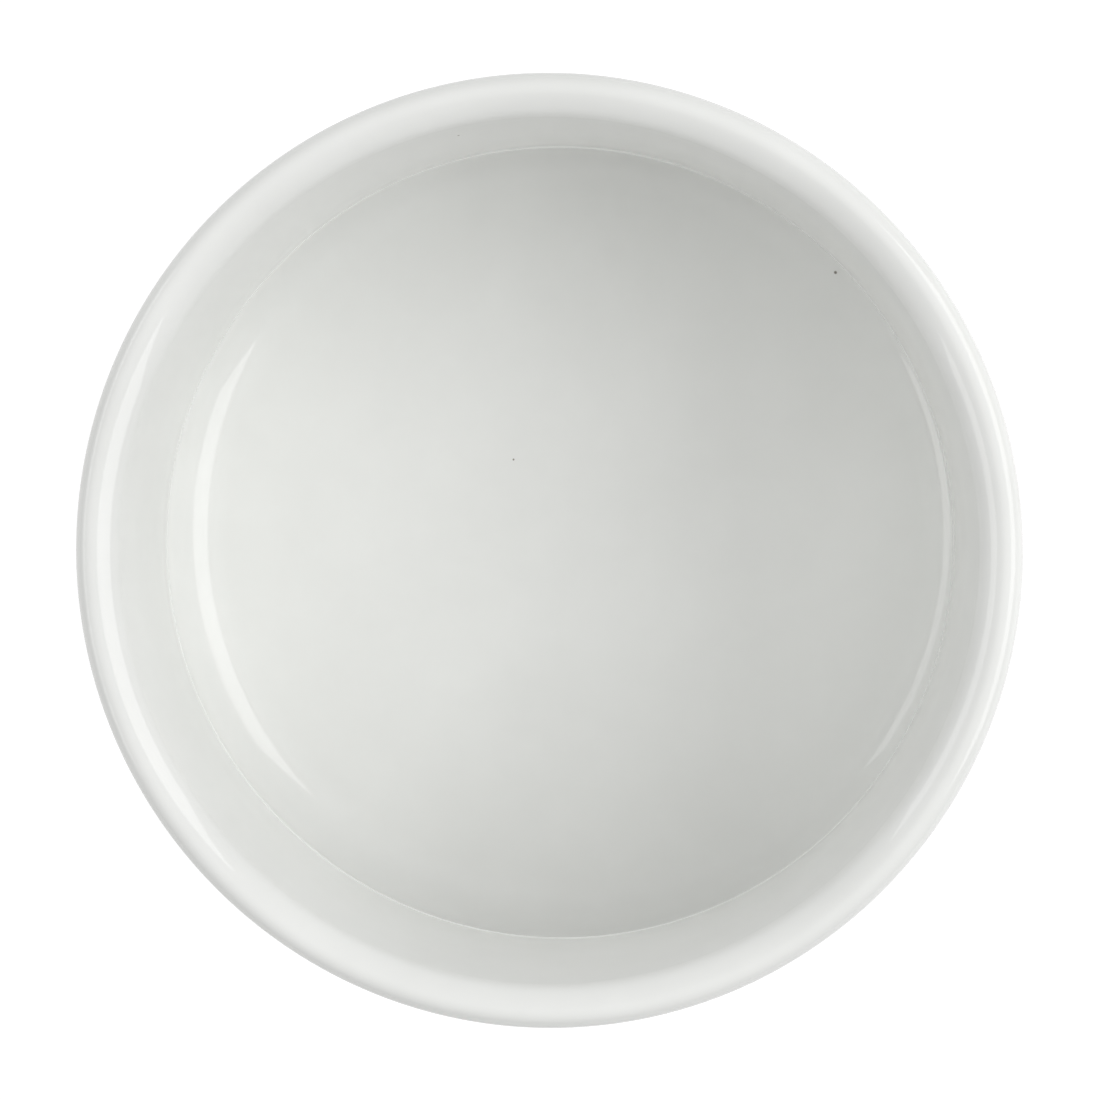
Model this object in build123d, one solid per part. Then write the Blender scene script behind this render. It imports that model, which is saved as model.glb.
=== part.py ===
from build123d import *
import math
import os

# A ramekin: a straight-sided porcelain baking cup with a smooth rolled rim and a fluted outside.
# Millimetres, +Z up. The origin is on the axis, in the plane that the foot ring stands on.
# Angles of an outline are in degrees from +X, measured in the half section, where X is the radius.

# Overall
height = 45.0
rim_radius = 45.0

# Rim, from the outside inwards: the outer round, the crown, a slow fall to the inside, and the lip
rim_round = 1.5
rim_end_angle = 44.0
crown_round = 1.6
crown_end_angle = 92.0
fall_radius = 3.3
fall_end_angle = 125.6
lip_round = 2.15

# Cavity. The upper wall slopes in to a shoulder, and the lower wall drops almost straight. Its corner is
# a tight round at the wall, then a wide one that runs out into the floor
shoulder_depth = 17.5
shoulder_inset = 6.95
lower_draft = 0.5
corner_round = 1.25
corner_end_angle = -56.0
floor_round = 6.0
base_thickness = 3.4

# Plain band below the rim on the outside
band_height = 6.6
band_draft = 0.8
band_bevel = 0.5
band_ledge = 0.1

# Fluted side, and the heel that turns in under it
side_draft = 1.2
flute_count = 36
flute_radius = 6.5
flute_depth = 0.8
heel_rise = 2.6
heel_run = 1.8

# Foot ring of bare porcelain, and the glazed recess inside it
foot_height = 1.0
foot_inset = 0.4
foot_width = 2.7
foot_bevel = 0.3
recess_depth = 1.8
recess_bevel = 0.5

# How far a cutter runs past what it cuts
overrun = 5.0


def polar(centre, radius, angle):
    """The point at an angle on a circle in the half section, or a distance away in a direction."""
    turn = math.radians(angle)
    return (centre[0] + radius * math.cos(turn), centre[1] + radius * math.sin(turn))


def run(rise, angle):
    """Horizontal travel of a drafted face over a rise."""
    return rise * math.tan(math.radians(angle))


def slant(angle):
    """Horizontal distance to a drafted face for each millimetre square to it."""
    return 1 / math.cos(math.radians(angle))


def rim_centres():
    """Centres of the rim's four arcs: the outer round, the crown, the fall and the lip."""
    crown = (0, height - crown_round)
    outer = polar(crown, crown_round - rim_round, rim_end_angle)
    fall = polar(crown, crown_round - fall_radius, crown_end_angle)
    lip = polar(fall, fall_radius - lip_round, fall_end_angle)
    shift = rim_radius - rim_round - outer[0]
    return [(x + shift, z) for x, z in (outer, crown, fall, lip)]


def band_radius(z):
    """Radius of the plain band at a height."""
    outer = rim_centres()[0]
    return outer[0] + rim_round * slant(band_draft) - run(outer[1] - z, band_draft)


def crest_radius(z):
    """Radius of the flutes' crests at a height."""
    band_bottom = height - band_height
    return band_radius(band_bottom) - band_bevel - band_ledge - run(band_bottom - z, side_draft)


shoulder_radius = rim_radius - shoulder_inset
shoulder_height = height - shoulder_depth
floor_height = recess_depth + base_thickness


def upper_draft():
    """Draft of the upper wall, so that it leaves the lip's round and meets the shoulder."""
    lip = rim_centres()[3]
    across = lip[0] - shoulder_radius
    down = lip[1] - shoulder_height
    return math.degrees(math.atan2(across, down) - math.asin(lip_round / math.hypot(across, down)))


def corner_centres():
    """Centres of the two arcs between the lower wall and the floor: the tight one, then the wide one."""
    wide = (0, floor_height + floor_round)
    tight = polar(wide, floor_round - corner_round, corner_end_angle)
    wall_radius = shoulder_radius - run(shoulder_height - tight[1], lower_draft)
    shift = wall_radius - corner_round * slant(lower_draft) - tight[0]
    return [(x + shift, z) for x, z in (tight, wide)]


heel_height = foot_height + heel_rise
foot_outer_radius = crest_radius(heel_height) - heel_run - foot_inset
foot_inner_radius = foot_outer_radius - foot_width


def line_to(edges, *corners):
    """Straight edges from the last point of an outline through the corners given."""
    for corner in corners:
        edges.append(Line(edges[-1] @ 1, corner))


def arc_on(edges, centre, radius, start, end):
    """An arc that carries on from the last point of an outline."""
    edges.append(CenterArc(centre, radius, start, end - start))


def arc_to(edges, centre, radius, start, end):
    """A straight edge to the start of an arc, then the arc."""
    line_to(edges, polar(centre, radius, start))
    arc_on(edges, centre, radius, start, end)


def cup_section():
    """Half section of the glazed cup, from the recess under its base round to the floor."""
    band_bottom = height - band_height
    recess_radius = foot_inner_radius - recess_bevel
    edges = [Line((0, recess_depth), (recess_radius, recess_depth))]
    line_to(edges, (foot_inner_radius, recess_depth - recess_bevel), (foot_inner_radius, foot_height))

    # Heel, fluted side and the lower edge of the band
    line_to(edges, (foot_outer_radius + foot_inset, foot_height), (crest_radius(heel_height), heel_height))
    line_to(edges, (crest_radius(band_bottom), band_bottom))
    line_to(edges, (band_radius(band_bottom) - band_bevel, band_bottom))
    line_to(edges, (band_radius(band_bottom + band_bevel), band_bottom + band_bevel))

    # Rim
    outer, crown, fall, lip = rim_centres()
    arc_to(edges, outer, rim_round, -band_draft, rim_end_angle)
    arc_on(edges, crown, crown_round, rim_end_angle, crown_end_angle)
    arc_on(edges, fall, fall_radius, crown_end_angle, fall_end_angle)
    arc_on(edges, lip, lip_round, fall_end_angle, 180 - upper_draft())

    # Wall, with the shoulder where its draft changes, then the corner and the floor
    tight, wide = corner_centres()
    line_to(edges, (shoulder_radius, shoulder_height))
    arc_to(edges, tight, corner_round, -lower_draft, corner_end_angle)
    arc_on(edges, wide, floor_round, corner_end_angle, -90)
    line_to(edges, (0, floor_height), (0, recess_depth))
    return make_face(edges)


def foot_section():
    """Half section of the bare foot ring, with both lower edges bevelled."""
    corners = [
        (foot_inner_radius, foot_height),
        (foot_inner_radius, foot_bevel),
        (foot_inner_radius + foot_bevel, 0),
        (foot_outer_radius - foot_bevel, 0),
        (foot_outer_radius, foot_bevel),
        (foot_outer_radius, foot_height),
    ]
    return make_face(Polyline(*corners, close=True))


def turned(face):
    """A half section turned about the axis."""
    return revolve(Plane.XZ * face, Axis.Z)


def flute_cutters():
    """Round grooves that follow the side's draft and stop at the underside of the band."""
    top_z = height - band_height
    axis_radius = crest_radius(top_z) + (flute_radius - flute_depth) * slant(side_draft)
    from_top = (Align.CENTER, Align.CENTER, Align.MAX)
    groove = Rot(0, side_draft, 0) * Pos(0, 0, overrun) * Cylinder(flute_radius, height + overrun, align=from_top)
    below = Box(2 * rim_radius, 2 * rim_radius, 2 * height, align=from_top)
    return PolarLocations(0, flute_count) * (Pos(axis_radius, 0, top_z) * (groove & below))


os.makedirs("parts", exist_ok=True)

glazed_cup = turned(cup_section()) - flute_cutters()
foot_ring = turned(foot_section())

export_step(glazed_cup, "parts/glazed_cup.step")
export_step(foot_ring, "parts/foot_ring.step")
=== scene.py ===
import math

import bpy
from mathutils import Matrix, Vector

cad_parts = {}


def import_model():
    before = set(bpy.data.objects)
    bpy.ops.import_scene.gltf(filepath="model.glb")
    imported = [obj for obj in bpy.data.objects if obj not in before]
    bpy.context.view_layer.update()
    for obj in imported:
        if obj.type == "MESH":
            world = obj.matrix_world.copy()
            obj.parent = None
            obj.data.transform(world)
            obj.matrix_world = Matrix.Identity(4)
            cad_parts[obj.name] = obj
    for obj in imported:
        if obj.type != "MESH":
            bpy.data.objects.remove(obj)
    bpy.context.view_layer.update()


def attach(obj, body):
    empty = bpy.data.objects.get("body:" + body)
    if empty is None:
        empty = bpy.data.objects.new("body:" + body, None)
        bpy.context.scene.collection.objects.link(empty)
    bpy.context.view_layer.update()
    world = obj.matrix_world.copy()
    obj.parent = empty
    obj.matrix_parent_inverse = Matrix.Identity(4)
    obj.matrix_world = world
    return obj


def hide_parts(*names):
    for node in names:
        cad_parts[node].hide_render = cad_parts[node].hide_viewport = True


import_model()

# Sizes are in millimetres until a mesh is made. Angles of an outline are in degrees from +X in the half
# section, where X is the radius. The outside, the band and the foot have the sizes of the CAD solids. The
# rim, the upper wall, the shoulder and the corner are fitted more closely to the photograph.
MM = 0.001
HEIGHT = 45.0
RIM_RADIUS = 45.0

# Rim, from the outside inwards
RIM_ROUND = 1.5
CROWN_END = 109.5
FALL_RADIUS = 5.3
FALL_END = 126.5
LIP_ROUND = 2.15
LIP_DRAFT = 16.5

# Cavity. The lower wall is set back under the shoulder, out of the camera's sight. FLOOR_RADIUS is where
# the corner's round meets the floor
SHOULDER_DEPTH = 17.5
SHOULDER_RADIUS = 37.9
SHOULDER_LEDGE = 0.13
SHOULDER_ROUND = 0.1
FLOOR_RADIUS = 34.15
CORNER_ROUND = 6.0
CAVITY_DEPTH = 39.8

# Band, fluted side and heel on the outside
BAND_HEIGHT = 6.6
BAND_DRAFT = 0.8
BAND_ROUND = 0.5
BAND_LEDGE = 0.1
LEDGE_ROUND = 0.4
SIDE_DRAFT = 1.2
FLUTES = 36
FLUTE_RADIUS = 6.5
FLUTE_DEPTH = 0.8
FLUTE_SOFTNESS = 0.35
HEEL_RISE = 2.6
HEEL_RUN = 1.8
HEEL_SOFTNESS = 1.0

# Foot ring and recess
FOOT_HEIGHT = 1.0
FOOT_INSET = 0.4
FOOT_WIDTH = 2.7
FOOT_ROUND = 0.3
RECESS_DEPTH = 1.8
RECESS_ROUND = 0.5

# Kiln warp: the rim is this share narrower along X, and the foot stays round
WARP = 0.008

# Mesh: angles between points in degrees, and numbers of points along a stretch
STEPS_PER_FLUTE = 16
AROUND = FLUTES * STEPS_PER_FLUTE
FINE_ARC = 1.5
COARSE_ARC = 15
RIM_ARC = 4.0
SIDE_POINTS = 12
BAND_POINTS = 4
UPPER_WALL_POINTS = 14
LEDGE_POINTS = 6
SHOULDER_POINTS = 16
LOWER_WALL_POINTS = 10
FLOOR_POINTS = 10
SEAT_POINTS = 2
RECESS_POINTS = 8
ROUNDED_POINTS = 8

# Where the side meets the band: how far down its direction is taken, and the largest share of the ledge
# that the ledge's round may take
SIDE_PROBE = 1.0
LEDGE_ROUND_SHARE = 0.9

# Glaze. Tones are places on a ramp, each with its colour. A speck is a place and a radius in millimetres
GLAZE_IOR = 1.43
GLAZE_CLOUD = {"Scale": 60.0, "Detail": 4.0, "Roughness": 0.6}
GLAZE_TONES = [(0.3, (0.843, 0.85, 0.83, 1)), (0.7, (0.883, 0.89, 0.87, 1))]
GLAZE_GLOSS = {"Scale": 140.0, "Detail": 3.0}
GLAZE_ROUGHNESS = {"To Min": 0.03, "To Max": 0.075}
SPECK_COLOUR = (0.25, 0.23, 0.2, 1)
SPECK_CORE_SHARE = 0.5
SPECKS = [
    ((25.84, 25.68, 5.66), 0.2),
    ((-5.88, 7.21, 5.2), 0.12),
    ((-8.66, 39.11, 40.29), 0.14),
    ((24.5, -35.2, 22.0), 0.2),
]

# Bare porcelain
CLAY_STAIN = {"Scale": 300.0, "Detail": 6.0, "Roughness": 0.7}
CLAY_TONES = [(0.35, (0.55, 0.51, 0.45, 1)), (0.62, (0.72, 0.70, 0.65, 1))]
CLAY_ROUGHNESS = 0.8
CLAY_GRAIN = {"Scale": 2500.0, "Detail": 3.0}
CLAY_RELIEF = {"Strength": 0.4, "Distance": 0.0001}

# Floor, half its width in metres. The camera and reflections see its glow on the seen colour, and other
# light bounces off the lit colour
FLOOR_HALF = 1.5
FLOOR_ROUGHNESS = 0.9
FLOOR_GLOW = 0.82
FLOOR_SEEN_COLOUR = (0.3, 0.3, 0.3, 1)
FLOOR_LIT_COLOUR = (0.8, 0.8, 0.8, 1)

# Surrounding light: its strength at the horizon and overhead, and the directions where these are brightest.
# HORIZON_TOP is the cosine of the angle from BRIGHT_ABOVE at which the rise from the horizon begins
DIM_HORIZON = 0.22
BRIGHT_HORIZON = 0.5
BRIGHT_SIDE = (-0.15, 0.99, 0.0)
ZENITH_LIGHT = 0.85
BRIGHT_ABOVE = (0.12, 0.0, 0.993)
HORIZON_TOP = 0.45

# Softboxes: direction in degrees, then distance and size in metres, then power in watts
KEY = {"azimuth": 4, "elevation": 41, "distance": 0.9, "width": 0.95, "height": 0.5, "power": 4.1}
FILL = {"azimuth": 178, "elevation": 34, "distance": 0.9, "width": 0.85, "height": 0.24, "power": 1.35}

# Camera: straight above, a little off the axis, framed on the rim. Distances are in metres, the sensor in
# millimetres and places in pixels
CAMERA_HEIGHT = 0.8
CAMERA_OFFSET = 0.065
CAMERA_AZIMUTH = 37.0
SENSOR_WIDTH = 36
CLIP_NEAR = 0.01
CLIP_FAR = 10
IMAGE = 1100
RIM_IN_IMAGE = 479.1
RIM_CENTRE_IN_IMAGE = (546.9, 552.4)
RIM_CENTRE = Vector((0, 0, HEIGHT * MM))


def polar(centre, radius, angle):
    """The point at an angle on a circle in the half section."""
    turn = math.radians(angle)
    return (centre[0] + radius * math.cos(turn), centre[1] + radius * math.sin(turn))


def arc(centre, radius, start, end, step=RIM_ARC):
    """Points along an arc, about step degrees apart."""
    count = max(2, math.ceil(abs(end - start) / step))
    return [polar(centre, radius, start + (end - start) * k / count) for k in range(count + 1)]


def straight(start, end, count):
    """Points along a straight stretch, without its first."""
    return [
        (start[0] + (end[0] - start[0]) * k / count, start[1] + (end[1] - start[1]) * k / count)
        for k in range(1, count + 1)
    ]


def rounded(before, corner, after, reach, count=ROUNDED_POINTS):
    """A smooth turn at a corner, which leaves both straight stretches reach millimetres from it."""
    return curve(toward(corner, before, reach), corner, toward(corner, after, reach), count)


def curve(start, control, end, count):
    """Points along a smooth curve that leaves its start toward a control point and ends coming from it."""
    points = []
    for k in range(count + 1):
        t = k / count
        shares = ((1 - t) ** 2, 2 * t * (1 - t), t * t)
        points.append(tuple(sum(w * p for w, p in zip(shares, axis)) for axis in zip(start, control, end)))
    return points


def toward(point, other, distance):
    """The point a distance along the way to another."""
    length = math.dist(point, other)
    return tuple(a + (b - a) * distance / length for a, b in zip(point, other))


def run(rise, angle):
    """Horizontal travel of a drafted face over a rise."""
    return rise * math.tan(math.radians(angle))


def soft_min(a, b, softness):
    """The smaller of two lengths, rounded over where they meet."""
    blend = max(softness - abs(a - b), 0) / softness
    return min(a, b) - blend * blend * softness / 4


def band_radius(z):
    """Radius of the plain band at a height."""
    return RIM_RADIUS - run(HEIGHT - RIM_ROUND - z, BAND_DRAFT)


BAND_BOTTOM = HEIGHT - BAND_HEIGHT


def crest_radius(z):
    """Radius of the flutes' crests at a height."""
    return band_radius(BAND_BOTTOM) - BAND_ROUND - BAND_LEDGE - run(BAND_BOTTOM - z, SIDE_DRAFT)


HEEL_TOP = FOOT_HEIGHT + HEEL_RISE
FOOT_OUTER = crest_radius(HEEL_TOP) - HEEL_RUN - FOOT_INSET
FOOT_INNER = FOOT_OUTER - FOOT_WIDTH


def side_radius(z, phase):
    """Radius of the fluted side at a height. The phase is 0 in the middle of a flute and 0.5 on a crest."""
    turn = 2 * math.pi * min(phase, 1 - phase) / FLUTES
    axis = crest_radius(z) + FLUTE_RADIUS - FLUTE_DEPTH
    across = axis * math.sin(turn)
    crest = crest_radius(z)
    if abs(across) >= FLUTE_RADIUS:
        return crest
    groove = axis * math.cos(turn) - math.sqrt(FLUTE_RADIUS**2 - across**2)
    return soft_min(crest, groove, FLUTE_SOFTNESS)


def side_outline(phase):
    """Below the band's face: its lower edge, the ledge under it, the fluted side and the heel."""
    edge = band_radius(BAND_BOTTOM + BAND_ROUND)
    points = arc((edge - BAND_ROUND, BAND_BOTTOM + BAND_ROUND), BAND_ROUND, -BAND_DRAFT, -90, COARSE_ARC)
    under = (side_radius(BAND_BOTTOM, phase), BAND_BOTTOM)
    lower = BAND_BOTTOM - SIDE_PROBE
    below = (side_radius(lower, phase), lower)
    reach = min(LEDGE_ROUND, LEDGE_ROUND_SHARE * math.dist(points[-1], under))
    points += rounded(points[-1], under, below, reach)
    z_start = points[-1][1]
    z_heel = HEEL_TOP + HEEL_SOFTNESS
    points += [(side_radius(z, phase), z) for z in spaced(z_start, z_heel, SIDE_POINTS)]
    for z in spaced(z_heel, FOOT_HEIGHT, SIDE_POINTS):
        heel = FOOT_OUTER + FOOT_INSET + (z - FOOT_HEIGHT) * HEEL_RUN / HEEL_RISE
        points.append((soft_min(side_radius(z, phase), heel, HEEL_SOFTNESS), z))
    return points


def spaced(start, end, count):
    """Heights from start to end, without the first."""
    return [start + (end - start) * k / count for k in range(1, count + 1)]


def inside_outline():
    """From the band's face over the rim, down the wall with its shoulder, and in across the floor."""
    outer = (RIM_RADIUS - RIM_ROUND, HEIGHT - RIM_ROUND)
    fall = polar(outer, RIM_ROUND - FALL_RADIUS, CROWN_END)
    lip = polar(fall, FALL_RADIUS - LIP_ROUND, FALL_END)
    shoulder = (SHOULDER_RADIUS, HEIGHT - SHOULDER_DEPTH)
    ledge = (SHOULDER_RADIUS + SHOULDER_LEDGE, HEIGHT - SHOULDER_DEPTH)

    band_foot = (band_radius(BAND_BOTTOM + BAND_ROUND), BAND_BOTTOM + BAND_ROUND)
    points = straight(band_foot, polar(outer, RIM_ROUND, 0), BAND_POINTS)
    points += arc(outer, RIM_ROUND, 0, CROWN_END)[1:]
    points += arc(fall, FALL_RADIUS, CROWN_END, FALL_END, FINE_ARC)[1:]
    points += arc(lip, LIP_ROUND, FALL_END, 180 - LIP_DRAFT)[1:]

    # Upper wall: it steepens on the way down to the shoulder's narrow ledge
    half_way = (points[-1][1] - ledge[1]) / 2
    middle = (points[-1][0] - run(half_way, LIP_DRAFT), ledge[1] + half_way)
    points += curve(points[-1], middle, toward(ledge, middle, SHOULDER_ROUND), UPPER_WALL_POINTS)[1:]
    ledge_flat = toward(ledge, shoulder, SHOULDER_LEDGE - SHOULDER_ROUND)
    points += curve(points[-1], ledge, ledge_flat, LEDGE_POINTS)[1:]

    # Lower wall, set back under the shoulder, then the round into the floor
    floor_z = HEIGHT - CAVITY_DEPTH
    corner = (FLOOR_RADIUS, floor_z + CORNER_ROUND)
    across, down = shoulder[0] - corner[0], shoulder[1] - corner[1]
    lean = math.degrees(math.asin(CORNER_ROUND / math.hypot(across, down)) - math.atan2(across, down))
    wall_foot = polar(corner, CORNER_ROUND, lean)
    wall_top = toward(shoulder, wall_foot, SHOULDER_ROUND)
    points += curve(points[-1], shoulder, wall_top, SHOULDER_POINTS)[1:]
    points += straight(points[-1], wall_foot, LOWER_WALL_POINTS)
    points += arc(corner, CORNER_ROUND, lean, -90, FINE_ARC)[1:]
    points += straight(points[-1], (0, floor_z), FLOOR_POINTS)[:-1]
    return points


def base_outline():
    """Under the cup, from the heel over the foot ring's seat and in across the glazed recess."""
    start = (FOOT_OUTER + FOOT_INSET, FOOT_HEIGHT)
    rim = (FOOT_INNER, FOOT_HEIGHT)
    points = straight(start, rim, SEAT_POINTS)
    recess = (FOOT_INNER, RECESS_DEPTH)
    points += rounded(rim, recess, (0, RECESS_DEPTH), RECESS_ROUND)
    points += straight(points[-1], (0, RECESS_DEPTH), RECESS_POINTS)[:-1]
    return points


def turned_mesh(name, outline, closed_ends):
    """A mesh of one outline at each angle. closed_ends are the heights of the points on the axis, if any."""
    rings = [outline(k) for k in range(AROUND)]
    count = len(rings[0])
    verts = []
    for k, ring in enumerate(rings):
        turn = 2 * math.pi * k / AROUND
        for r, z in ring:
            warped = r * (1 - WARP * z / HEIGHT)
            verts.append((warped * MM * math.cos(turn), r * MM * math.sin(turn), z * MM))
    faces = []
    for k in range(AROUND):
        here, there = k * count, (k + 1) % AROUND * count
        faces += [(here + i, there + i, there + i + 1, here + i + 1) for i in range(count - 1)]
        if not closed_ends:
            faces.append((here + count - 1, there + count - 1, there, here))
    if closed_ends:
        first, last = len(verts), len(verts) + 1
        verts += [(0, 0, closed_ends[0] * MM), (0, 0, closed_ends[1] * MM)]
        for k in range(AROUND):
            here, there = k * count, (k + 1) % AROUND * count
            faces.append((first, there, here))
            faces.append((here + count - 1, there + count - 1, last))
    mesh = bpy.data.meshes.new(name)
    mesh.from_pydata(verts, [], faces)
    mesh.update()
    mesh.shade_smooth()
    obj = bpy.data.objects.new(name, mesh)
    bpy.context.scene.collection.objects.link(obj)
    return obj


def cup():
    """The glazed cup in one closed surface."""
    inside = list(reversed(inside_outline()))
    base = base_outline()

    def outline(k):
        return inside + side_outline(k / STEPS_PER_FLUTE % 1)[1:] + base

    return turned_mesh("cup", outline, (HEIGHT - CAVITY_DEPTH, RECESS_DEPTH))


def foot_ring():
    """The bare ring that the cup stands on, with rubbed-down edges."""
    top_outer, top_inner = (FOOT_OUTER, FOOT_HEIGHT), (FOOT_INNER, FOOT_HEIGHT)
    points = [top_outer]
    points += arc((FOOT_OUTER - FOOT_ROUND, FOOT_ROUND), FOOT_ROUND, 0, -90, COARSE_ARC)
    points += arc((FOOT_INNER + FOOT_ROUND, FOOT_ROUND), FOOT_ROUND, 270, 180, COARSE_ARC)
    points += [top_inner]
    return turned_mesh("foot_ring_worn", lambda k: points, None)


# Materials
def node(tree, kind, inputs=None, **settings):
    """A shader node with its settings and input values."""
    made = tree.nodes.new("ShaderNode" + kind)
    for key, value in settings.items():
        setattr(made, key, value)
    for key, value in (inputs or {}).items():
        made.inputs[key].default_value = value
    return made


def material(name):
    """A new node material, with its tree and its Principled shader."""
    made = bpy.data.materials.new(name)
    made.use_nodes = True
    return made, made.node_tree, made.node_tree.nodes["Principled BSDF"]


def clouded(tree, place, cloud, tones):
    """A colour that drifts between two tones."""
    noise = node(tree, "TexNoise", cloud)
    tree.links.new(place, noise.inputs["Vector"])
    ramp = node(tree, "ValToRGB")
    for stop, (position, colour) in zip(ramp.color_ramp.elements, tones):
        stop.position = position
        stop.color = colour
    tree.links.new(noise.outputs["Fac"], ramp.inputs["Fac"])
    return ramp.outputs["Color"]


def glaze():
    """Glossy clear glaze on white porcelain, slightly clouded, with the few specks of a fired glaze."""
    made, tree, shader = material("white_glaze")
    link = tree.links.new
    place = node(tree, "TexCoord").outputs["Object"]
    shader.inputs["IOR"].default_value = GLAZE_IOR
    tone = clouded(tree, place, GLAZE_CLOUD, GLAZE_TONES)

    # Iron specks, each a small dark dot with a soft edge
    speck = None
    for centre, radius in SPECKS:
        away = node(tree, "VectorMath", operation="DISTANCE")
        away.inputs[1].default_value = [c * MM for c in centre]
        link(place, away.inputs[0])
        reach = {"From Min": radius * MM * SPECK_CORE_SHARE, "From Max": radius * MM}
        dot = node(tree, "MapRange", {**reach, "To Min": 1.0, "To Max": 0.0})
        link(away.outputs["Value"], dot.inputs["Value"])
        if speck:
            both = node(tree, "Math", operation="MAXIMUM")
            link(speck, both.inputs[0])
            link(dot.outputs["Result"], both.inputs[1])
            speck = both.outputs[0]
        else:
            speck = dot.outputs["Result"]
    colour = node(tree, "Mix", data_type="RGBA")
    colour.inputs["B"].default_value = SPECK_COLOUR
    link(speck, colour.inputs["Factor"])
    link(tone, colour.inputs["A"])
    link(colour.outputs["Result"], shader.inputs["Base Color"])

    # Gloss that varies a little
    gloss = node(tree, "TexNoise", GLAZE_GLOSS)
    link(place, gloss.inputs["Vector"])
    rough = node(tree, "MapRange", GLAZE_ROUGHNESS)
    link(gloss.outputs["Fac"], rough.inputs["Value"])
    link(rough.outputs["Result"], shader.inputs["Roughness"])
    return made


def bare_porcelain():
    """Unglazed fired porcelain: matte, finely granular, a little dirty from use."""
    made, tree, shader = material("bare_porcelain")
    link = tree.links.new
    place = node(tree, "TexCoord").outputs["Object"]
    link(clouded(tree, place, CLAY_STAIN, CLAY_TONES), shader.inputs["Base Color"])
    shader.inputs["Roughness"].default_value = CLAY_ROUGHNESS
    grain = node(tree, "TexNoise", CLAY_GRAIN)
    link(place, grain.inputs["Vector"])
    bump = node(tree, "Bump", CLAY_RELIEF)
    link(grain.outputs["Fac"], bump.inputs["Height"])
    link(bump.outputs["Normal"], shader.inputs["Normal"])
    return made


def pale_floor():
    """A pale surface, near white to the camera and in reflections, that still shows the object's shadow."""
    made, tree, shader = material("pale_floor")
    link = tree.links.new
    shader.inputs["Roughness"].default_value = FLOOR_ROUGHNESS
    path = node(tree, "LightPath")
    seen = node(tree, "Math", operation="MAXIMUM")
    link(path.outputs["Is Camera Ray"], seen.inputs[0])
    link(path.outputs["Is Glossy Ray"], seen.inputs[1])
    through = node(tree, "Math", operation="MAXIMUM")
    link(seen.outputs[0], through.inputs[0])
    link(path.outputs["Is Transmission Ray"], through.inputs[1])
    strength = node(tree, "Math", operation="MULTIPLY")
    strength.inputs[1].default_value = FLOOR_GLOW
    link(through.outputs[0], strength.inputs[0])
    shader.inputs["Emission Color"].default_value = (1, 1, 1, 1)
    link(strength.outputs[0], shader.inputs["Emission Strength"])
    bounce = node(tree, "Mix", data_type="RGBA")
    bounce.inputs["A"].default_value = FLOOR_LIT_COLOUR
    bounce.inputs["B"].default_value = FLOOR_SEEN_COLOUR
    link(through.outputs[0], bounce.inputs["Factor"])
    link(bounce.outputs["Result"], shader.inputs["Base Color"])
    return made


# Stage
def floor():
    """A pale floor under the object, wide enough for every view."""
    corners = [(x * FLOOR_HALF, y * FLOOR_HALF, 0) for x, y in ((-1, -1), (1, -1), (1, 1), (-1, 1))]
    mesh = bpy.data.meshes.new("floor")
    mesh.from_pydata(corners, [], [(0, 1, 2, 3)])
    obj = bpy.data.objects.new("floor", mesh)
    bpy.context.scene.collection.objects.link(obj)
    obj.data.materials.append(pale_floor())


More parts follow.
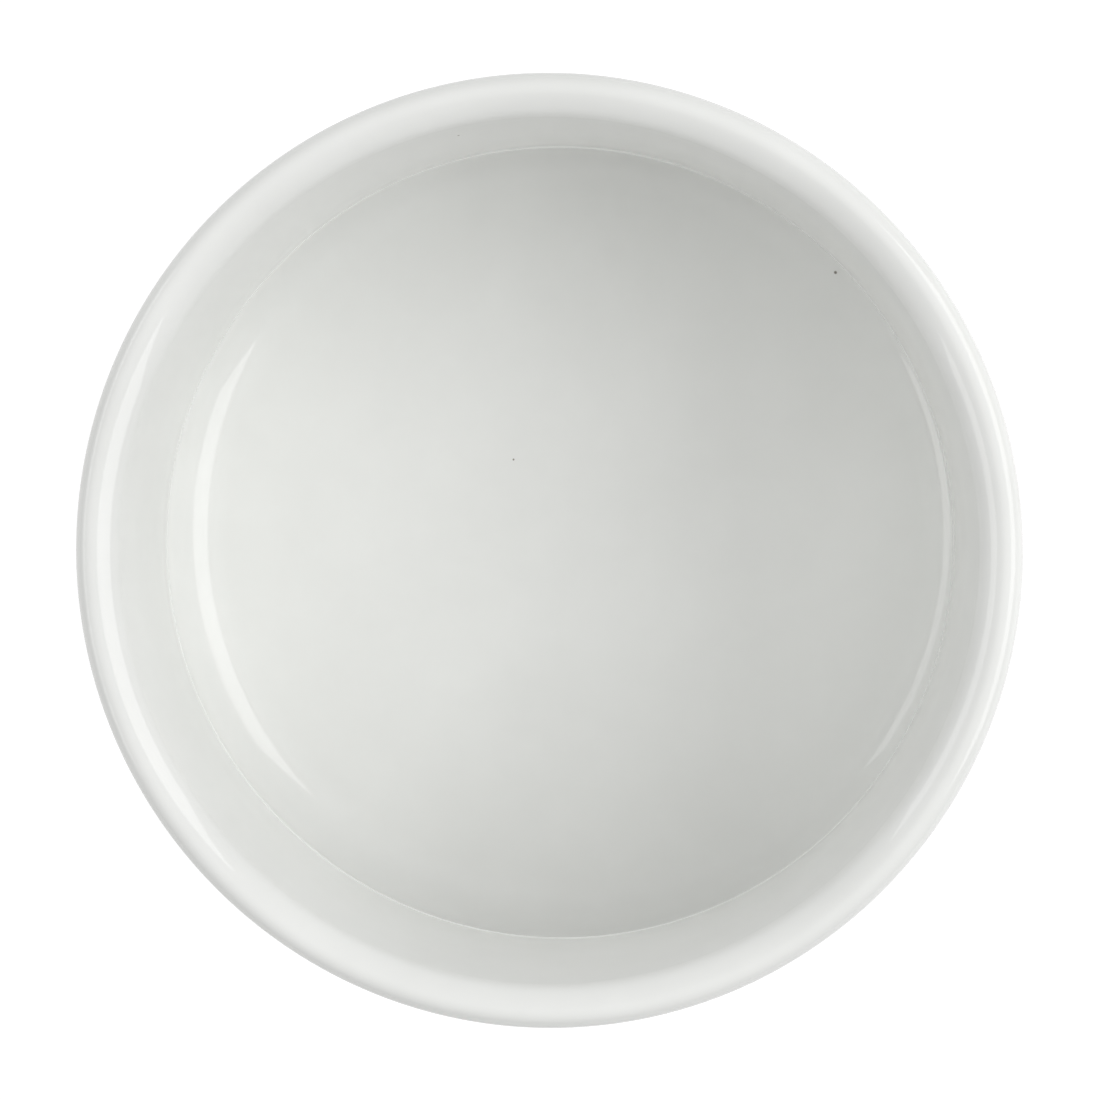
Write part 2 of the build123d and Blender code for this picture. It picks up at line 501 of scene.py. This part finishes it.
def world():
    """Soft surrounding light, and white where the camera looks past the floor."""
    made = bpy.data.worlds.new("studio")
    made.use_nodes = True
    bpy.context.scene.world = made
    tree = made.node_tree
    link = tree.links.new
    surround = tree.nodes["Background"]
    surround.inputs["Color"].default_value = (1, 1, 1, 1)
    direction = node(tree, "TexCoord").outputs["Generated"]
    side = node(tree, "VectorMath", operation="DOT_PRODUCT")
    side.inputs[1].default_value = BRIGHT_SIDE
    link(direction, side.inputs[0])
    strengths = {"To Min": DIM_HORIZON, "To Max": BRIGHT_HORIZON}
    horizon = node(tree, "MapRange", {"From Min": -1.0, **strengths})
    link(side.outputs["Value"], horizon.inputs["Value"])
    above = node(tree, "VectorMath", operation="DOT_PRODUCT")
    above.inputs[1].default_value = BRIGHT_ABOVE
    link(direction, above.inputs[0])
    rise = node(tree, "MapRange", {"From Min": HORIZON_TOP, "To Max": ZENITH_LIGHT})
    rise.interpolation_type = "SMOOTHSTEP"
    link(above.outputs["Value"], rise.inputs["Value"])
    link(horizon.outputs["Result"], rise.inputs["To Min"])
    link(rise.outputs["Result"], surround.inputs["Strength"])
    white = node(tree, "Background", {"Color": (1, 1, 1, 1), "Strength": 1.0})
    path = node(tree, "LightPath")
    mix = node(tree, "MixShader")
    link(path.outputs["Is Camera Ray"], mix.inputs["Fac"])
    link(surround.outputs[0], mix.inputs[1])
    link(white.outputs[0], mix.inputs[2])
    link(mix.outputs[0], tree.nodes["World Output"].inputs["Surface"])


def softbox(name, azimuth, elevation, distance, width, height, power):
    """A soft rectangular light that faces the cup."""
    light = bpy.data.lights.new(name, "AREA")
    light.shape = "RECTANGLE"
    light.size, light.size_y = width, height
    light.energy = power
    obj = bpy.data.objects.new(name, light)
    bpy.context.scene.collection.objects.link(obj)
    turn, rise = math.radians(azimuth), math.radians(elevation)
    way = Vector((math.cos(turn) * math.cos(rise), math.sin(turn) * math.cos(rise), math.sin(rise)))
    obj.location = RIM_CENTRE + way * distance
    obj.rotation_mode = "QUATERNION"
    obj.rotation_quaternion = way.to_track_quat("Z", "Y")


def camera():
    """The photograph's view. Its up is +Y."""
    turn = math.radians(CAMERA_AZIMUTH)
    away = Vector((CAMERA_OFFSET * math.cos(turn), CAMERA_OFFSET * math.sin(turn), CAMERA_HEIGHT))
    lens = bpy.data.cameras.new("camera")
    obj = bpy.data.objects.new("camera", lens)
    bpy.context.scene.collection.objects.link(obj)
    bpy.context.scene.camera = obj
    obj.location = RIM_CENTRE + away
    back = away.normalized()
    right = Vector((0, 1, 0)).cross(back).normalized()
    obj.rotation_mode = "QUATERNION"
    obj.rotation_quaternion = Matrix((right, back.cross(right), back)).transposed().to_quaternion()
    width_at_rim = IMAGE * RIM_RADIUS * MM / RIM_IN_IMAGE
    lens.sensor_width = SENSOR_WIDTH
    lens.lens = lens.sensor_width * away.length / width_at_rim
    lens.shift_x = (IMAGE / 2 - RIM_CENTRE_IN_IMAGE[0]) / IMAGE
    lens.shift_y = (RIM_CENTRE_IN_IMAGE[1] - IMAGE / 2) / IMAGE
    lens.clip_start, lens.clip_end = CLIP_NEAR, CLIP_FAR


glazed = cup()
glazed.data.materials.append(glaze())
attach(glazed, "root")
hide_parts("glazed_cup")

ring = foot_ring()
ring.data.materials.append(bare_porcelain())
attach(ring, "root")
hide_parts("foot_ring")

floor()
world()
softbox("key", **KEY)
softbox("fill", **FILL)
camera()
bpy.context.scene.view_settings.view_transform = "Standard"
